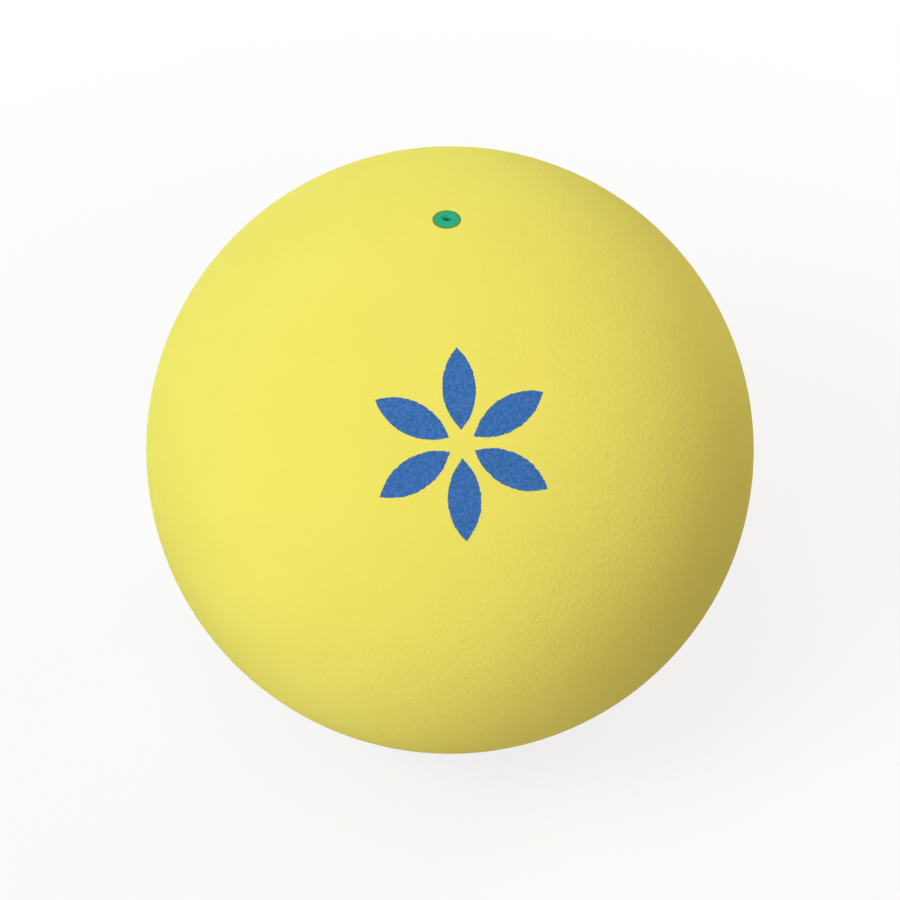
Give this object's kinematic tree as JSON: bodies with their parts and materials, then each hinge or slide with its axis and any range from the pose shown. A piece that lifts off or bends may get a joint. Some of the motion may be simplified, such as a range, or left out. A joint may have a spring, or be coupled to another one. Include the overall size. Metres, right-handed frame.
{
  "type": "soft tennis ball",
  "caption": "Hollow rubber ball for soft tennis, made of two bonded half shells, with a flush self-sealing valve that takes a pump needle.",
  "frame": {"origin": "centre of the ball", "axes": "+Z out through the middle of the valve; X and Y lie in the plane of the seam, with -Y towards the printed side"},
  "size_m": [0.066, 0.066, 0.066],
  "materials": {
    "shell_rubber": "matte",
    "valve_rubber": "satin",
    "gum": "gloss",
    "cap_rubber": "matte",
    "print_ink": "matte"
  },
  "bodies": {
    "root": {"upper_half_shell": "shell_rubber", "lower_half_shell": "shell_rubber", "valve_plug": "valve_rubber", "sealing_gum": "gum", "valve_cap": "cap_rubber"}
  },
  "joints": []
}
